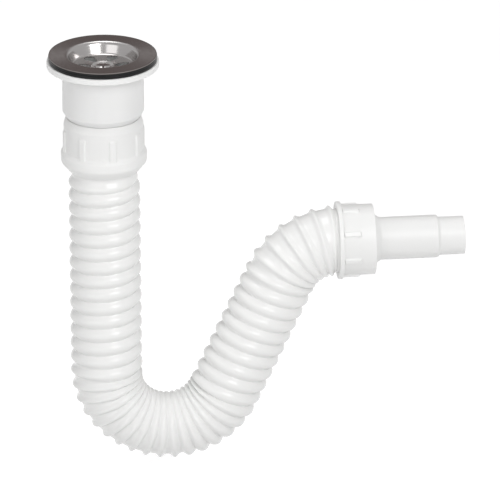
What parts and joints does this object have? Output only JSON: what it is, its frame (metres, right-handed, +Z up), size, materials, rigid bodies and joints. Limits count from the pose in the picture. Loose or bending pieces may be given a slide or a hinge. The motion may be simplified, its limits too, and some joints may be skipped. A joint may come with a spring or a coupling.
{
  "type": "sink trap",
  "caption": "Flexible sink trap: screw-down strainer waste, slip nut, corrugated hose bent into a U, and a second slip nut with a stepped outlet spigot.",
  "frame": {"origin": "centre of the sink clamp plane, where the upper and lower gaskets meet with no sink between them", "axes": "+Z up through the strainer, +X towards the outlet, the hose's line in the XZ plane"},
  "size_m": [0.2712, 0.073, 0.2829],
  "materials": {
    "moulded_white": "moulded white polypropylene",
    "hose_white": "blown white polypropylene",
    "polished_steel": "pressed and polished stainless steel",
    "black_rubber": "moulded black rubber",
    "brass": "turned brass"
  },
  "bodies": {
    "waste": {"strainer_cup": "polished_steel", "strainer_screw": "polished_steel", "upper_gasket": "black_rubber", "lower_gasket": "black_rubber", "waste_body": "moulded_white", "screw_insert": "brass"},
    "inlet_seal": {"inlet_seal": "black_rubber"},
    "inlet_nut": {"inlet_nut": "moulded_white"},
    "hose": {"hose": "hose_white"},
    "outlet_seal": {"outlet_seal": "black_rubber"},
    "outlet_spigot": {"outlet_spigot": "moulded_white"},
    "outlet_nut": {"outlet_nut": "moulded_white"}
  },
  "joints": [
    {"name": "inlet_union_travel", "type": "slide", "parent": "waste", "child": "inlet_seal", "axis": [0, 0, -1], "range_m": [0, 0.00924]},
    {"name": "inlet_nut_turn", "type": "hinge", "parent": "inlet_seal", "child": "inlet_nut", "pos_m": [0, 0, -0.0605], "axis": [0, 0, -1], "range_deg": [0, 1440]},
    {"name": "hose_swivel", "type": "hinge", "parent": "inlet_seal", "child": "hose", "pos_m": [0, 0, -0.0605], "axis": [0, 0, 1], "continuous": true},
    {"name": "hose_flex", "type": "hinge", "parent": "hose", "child": "outlet_seal", "pos_m": [0.0404, 0, -0.219], "axis": [0, 1, 0], "range_deg": [-15, 25], "deforming": ["hose"]},
    {"name": "outlet_union_travel", "type": "slide", "parent": "outlet_seal", "child": "outlet_spigot", "axis": [1, 0, 0], "range_m": [0, 0.00924]},
    {"name": "outlet_nut_turn", "type": "hinge", "parent": "outlet_spigot", "child": "outlet_nut", "pos_m": [0.1635, 0, -0.13487], "axis": [1, 0, 0], "range_deg": [0, 1440]}
  ],
  "couplings": [
    {"joint": "inlet_union_travel", "follows": "inlet_nut_turn", "m_per_rad": 0.00036749},
    {"joint": "outlet_union_travel", "follows": "outlet_nut_turn", "m_per_rad": 0.00036749}
  ]
}
